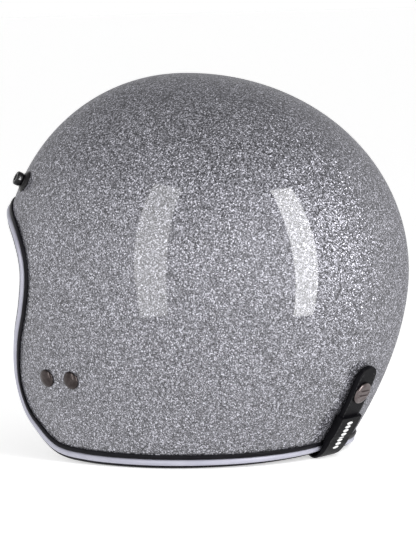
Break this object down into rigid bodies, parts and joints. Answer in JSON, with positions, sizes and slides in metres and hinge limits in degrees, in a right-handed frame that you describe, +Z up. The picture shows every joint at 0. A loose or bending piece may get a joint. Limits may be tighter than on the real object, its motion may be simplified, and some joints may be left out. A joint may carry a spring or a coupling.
{
  "type": "open face motorcycle helmet",
  "caption": "Open face motorcycle helmet with glitter shell, edge trim and bead, foam and fabric lining, chin strap with D-rings, front snaps and rear goggle strap.",
  "frame": {"origin": "middle of the footprint on the plane that the helmet's lower edge stands on", "axes": "+Z up, the face looks along -Y, the wearer's left is +X"},
  "size_m": [0.2318, 0.2569, 0.2445],
  "materials": {
    "flake_paint": "silver metal flake under gloss clear coat",
    "black_rubber": "satin",
    "silver_vinyl": "satin silver",
    "foam": "expanded bead foam",
    "quilted_fabric": "quilted",
    "suede": "brushed",
    "gunmetal": "dark plated gloss",
    "black_metal": "black satin",
    "steel": "nickel plated",
    "webbing": "woven",
    "black_leather": "smooth with fine grain"
  },
  "bodies": {
    "helmet": {"outer_shell": "flake_paint", "edge_trim": "black_rubber", "trim_bead": "silver_vinyl", "impact_liner": "foam", "crown_liner": "quilted_fabric", "brow_roll": "suede", "left_cheek_pad": "suede", "right_cheek_pad": "suede", "neck_roll": "suede", "chin_rivet_left_front": "gunmetal", "chin_rivet_left_rear": "gunmetal", "chin_rivet_right_front": "gunmetal", "chin_rivet_right_rear": "gunmetal", "left_strap_hanger": "steel", "right_strap_hanger": "steel", "left_strap_upper": "webbing", "right_strap_upper": "webbing", "snap_washer_centre": "black_metal", "snap_stud_centre": "black_metal", "snap_washer_left": "black_metal", "snap_stud_left": "black_metal", "snap_washer_right": "black_metal", "snap_stud_right": "black_metal", "goggle_strap_hem": "black_leather", "goggle_stud": "gunmetal", "goggle_anchor_rivet": "gunmetal"},
    "goggle_strap": {"goggle_strap": "black_leather", "goggle_sleeve": "black_leather", "goggle_snap_socket": "gunmetal", "goggle_snap_cap": "gunmetal"},
    "short_strap": {"short_strap": "webbing"},
    "ring_lower": {"d_ring_lower": "steel"},
    "ring_upper": {"d_ring_upper": "steel"},
    "long_strap": {"long_strap": "webbing", "strap_snap_stud": "gunmetal"},
    "tail": {"strap_tail": "webbing", "tail_snap_cap": "gunmetal"}
  },
  "joints": [
    {"name": "goggle_strap_open", "type": "hinge", "parent": "helmet", "child": "goggle_strap", "pos_m": [0, 0.09163, 0.0119], "axis": [-1, 0, 0], "range_deg": [0, 90]},
    {"name": "short_strap_swing", "type": "hinge", "parent": "helmet", "child": "short_strap", "pos_m": [0.07414, -0.04219, 0.0006], "axis": [-0.0958, -0.9954, 0], "range_deg": [0, 80]},
    {"name": "ring_lower_swing", "type": "hinge", "parent": "short_strap", "child": "ring_lower", "pos_m": [0.03134, -0.03807, 0.0041], "axis": [-0.0958, -0.9954, 0], "range_deg": [0, 100]},
    {"name": "ring_upper_swing", "type": "hinge", "parent": "short_strap", "child": "ring_upper", "pos_m": [0.03134, -0.03807, 0.0073], "axis": [0.0958, 0.9954, 0], "range_deg": [0, 100]},
    {"name": "long_strap_swing", "type": "hinge", "parent": "helmet", "child": "long_strap", "pos_m": [-0.07414, -0.04219, 0.0006], "axis": [-0.0958, 0.9954, 0], "range_deg": [0, 80]},
    {"name": "tail_fold", "type": "hinge", "parent": "long_strap", "child": "tail", "pos_m": [0.0035, -0.03471, 0.0025], "axis": [-0.0958, 0.9954, 0], "range_deg": [0, 120]}
  ]
}
